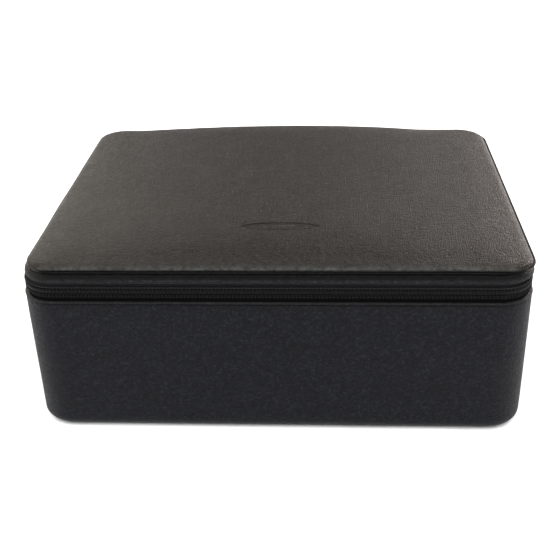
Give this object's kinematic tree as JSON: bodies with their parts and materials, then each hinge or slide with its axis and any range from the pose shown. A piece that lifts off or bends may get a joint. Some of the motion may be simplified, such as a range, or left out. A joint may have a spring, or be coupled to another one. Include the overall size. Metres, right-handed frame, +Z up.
{
  "type": "jewellery case",
  "caption": "Soft-edged leather jewellery case with a padded hinged lid, a coil zip round its opening, suede compartments, ring rolls and a lid mirror.",
  "frame": {"origin": "middle of the flat underside", "axes": "+Z up, +X to the right, -Y out of the front, where the zip runs; the hinge is at the back, +Y"},
  "size_m": [0.2842, 0.22, 0.111],
  "materials": {
    "black_leather": "fine grained, semi-matt, slightly worn at the edges",
    "grey_board": "raw grey board",
    "foam": "open-cell foam",
    "zip_tape": "woven herringbone tape",
    "zip_nylon": "satin nylon coil",
    "suede_lining": "soft suede nap",
    "ring_roll_velvet": "short velvet pile",
    "mirror_glass": "silvered glass",
    "dark_metal": "gunmetal plating"
  },
  "bodies": {
    "base": {"bottom_cover": "black_leather", "base_leather_wrap": "black_leather", "base_edge_binding": "black_leather", "floor_board": "grey_board", "wall_foam": "foam", "wall_board": "grey_board", "wall_lining": "suede_lining", "zip_tape_lower": "zip_tape", "zip_coil_lower": "zip_nylon", "hinge_strip_lower": "black_leather", "hinge_lining_lower": "suede_lining", "floor_pad": "suede_lining", "long_divider": "suede_lining", "cross_divider": "suede_lining", "floor_support_front": "grey_board", "floor_support_rear": "grey_board", "raised_floor": "grey_board", "raised_floor_pad": "suede_lining", "middle_divider": "suede_lining", "small_divider_left": "suede_lining", "small_divider_right": "suede_lining", "ring_bed": "foam", "ring_roll_1": "ring_roll_velvet", "ring_roll_2": "ring_roll_velvet", "ring_roll_3": "ring_roll_velvet", "ring_roll_4": "ring_roll_velvet", "ring_roll_5": "ring_roll_velvet", "ring_roll_6": "ring_roll_velvet"},
    "lid": {"lid_side_band": "black_leather", "lid_edge_piping": "black_leather", "lid_rim_board": "grey_board", "lid_top_board": "grey_board", "lid_top_cover": "black_leather", "lid_foam": "foam", "lid_wall_lining": "suede_lining", "lid_lining_panel": "suede_lining", "lid_mirror": "mirror_glass", "mirror_frame": "black_leather", "zip_tape_upper": "zip_tape", "zip_coil_upper": "zip_nylon", "hinge_strip_upper": "black_leather", "hinge_lining_upper": "suede_lining"},
    "zip_slider": {"slider_body": "dark_metal"},
    "zip_pull": {"pull_link": "dark_metal", "pull_tab": "black_leather", "pull_rivet": "dark_metal"}
  },
  "joints": [
    {"name": "lid_hinge", "type": "hinge", "parent": "base", "child": "lid", "pos_m": [0, 0.1074, 0.0899], "axis": [-1, 0, 0], "range_deg": [0, 100]},
    {"name": "zip_slide", "type": "slide", "parent": "base", "child": "zip_slider", "axis": [0, -1, 0], "range_m": [0, 0.15]},
    {"name": "pull_swing", "type": "hinge", "parent": "zip_slider", "child": "zip_pull", "pos_m": [-0.14185, 0.076, 0.09], "axis": [0, 0, -1], "range_deg": [0, 180]}
  ]
}
